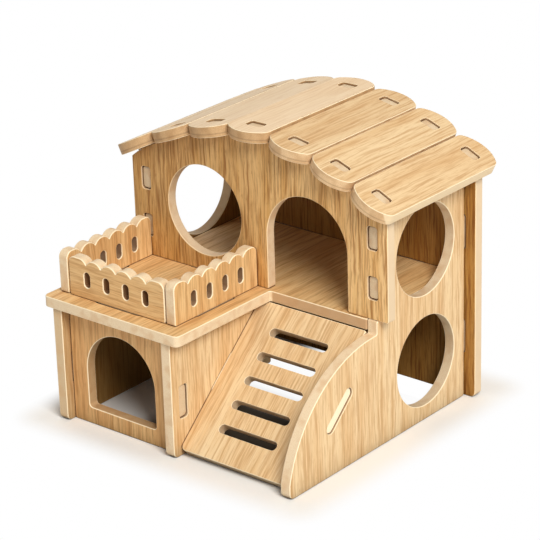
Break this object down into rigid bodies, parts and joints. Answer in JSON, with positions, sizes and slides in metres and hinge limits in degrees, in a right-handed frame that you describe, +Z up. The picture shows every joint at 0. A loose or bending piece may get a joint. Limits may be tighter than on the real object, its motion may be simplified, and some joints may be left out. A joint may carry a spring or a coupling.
{
  "type": "hamster house",
  "caption": "Two-storey wooden hamster house of slotted boards: curved plank roof, round windows, arched door, slotted ramp and an arched annex with a scalloped balcony rail on top.",
  "frame": {"origin": "middle of the bounding box's footprint, on the ground", "axes": "+X to the right of someone facing the door, +Y from the door, ramp and balcony at the front towards the back wall, +Z up"},
  "size_m": [0.1456, 0.133, 0.1269],
  "materials": {
    "wall_board": "satin",
    "deck_board": "satin",
    "roof_board": "satin",
    "rail_board": "satin"
  },
  "bodies": {
    "house": {"front_wall": "wall_board", "back_wall": "wall_board", "left_side_wall": "wall_board", "right_side_wall": "wall_board", "floor_slab": "deck_board", "annex_right_wall": "wall_board", "annex_arch_panel": "wall_board", "ramp": "deck_board"},
    "roof_plank_1": {"roof_plank_1": "roof_board"},
    "roof_plank_2": {"roof_plank_2": "roof_board"},
    "roof_plank_3": {"roof_plank_3": "roof_board"},
    "roof_plank_4": {"roof_plank_4": "roof_board"},
    "roof_plank_5": {"roof_plank_5": "roof_board"},
    "roof_plank_6": {"roof_plank_6": "roof_board"},
    "roof_plank_7": {"roof_plank_7": "roof_board"},
    "balcony_front_rail": {"balcony_front_rail": "rail_board"},
    "balcony_left_rail": {"balcony_left_rail": "rail_board"},
    "balcony_right_rail": {"balcony_right_rail": "rail_board"}
  },
  "joints": [
    {"name": "roof_plank_1_lift", "type": "slide", "parent": "house", "child": "roof_plank_1", "axis": [-0.4384, 0, 0.8988], "range_m": [0, 0.03]},
    {"name": "roof_plank_2_lift", "type": "slide", "parent": "house", "child": "roof_plank_2", "axis": [-0.3502, 0, 0.9367], "range_m": [0, 0.03]},
    {"name": "roof_plank_3_lift", "type": "slide", "parent": "house", "child": "roof_plank_3", "axis": [-0.1908, 0, 0.9816], "range_m": [0, 0.03]},
    {"name": "roof_plank_4_lift", "type": "slide", "parent": "house", "child": "roof_plank_4", "axis": [0, 0, 1], "range_m": [0, 0.03]},
    {"name": "roof_plank_5_lift", "type": "slide", "parent": "house", "child": "roof_plank_5", "axis": [0.1908, 0, 0.9816], "range_m": [0, 0.03]},
    {"name": "roof_plank_6_lift", "type": "slide", "parent": "house", "child": "roof_plank_6", "axis": [0.3502, 0, 0.9367], "range_m": [0, 0.03]},
    {"name": "roof_plank_7_lift", "type": "slide", "parent": "house", "child": "roof_plank_7", "axis": [0.4384, 0, 0.8988], "range_m": [0, 0.03]},
    {"name": "balcony_front_rail_lift", "type": "slide", "parent": "house", "child": "balcony_front_rail", "axis": [0, 0, 1], "range_m": [0, 0.025]},
    {"name": "balcony_left_rail_lift", "type": "slide", "parent": "house", "child": "balcony_left_rail", "axis": [0, 0, 1], "range_m": [0, 0.025]},
    {"name": "balcony_right_rail_lift", "type": "slide", "parent": "house", "child": "balcony_right_rail", "axis": [0, 0, 1], "range_m": [0, 0.025]}
  ]
}
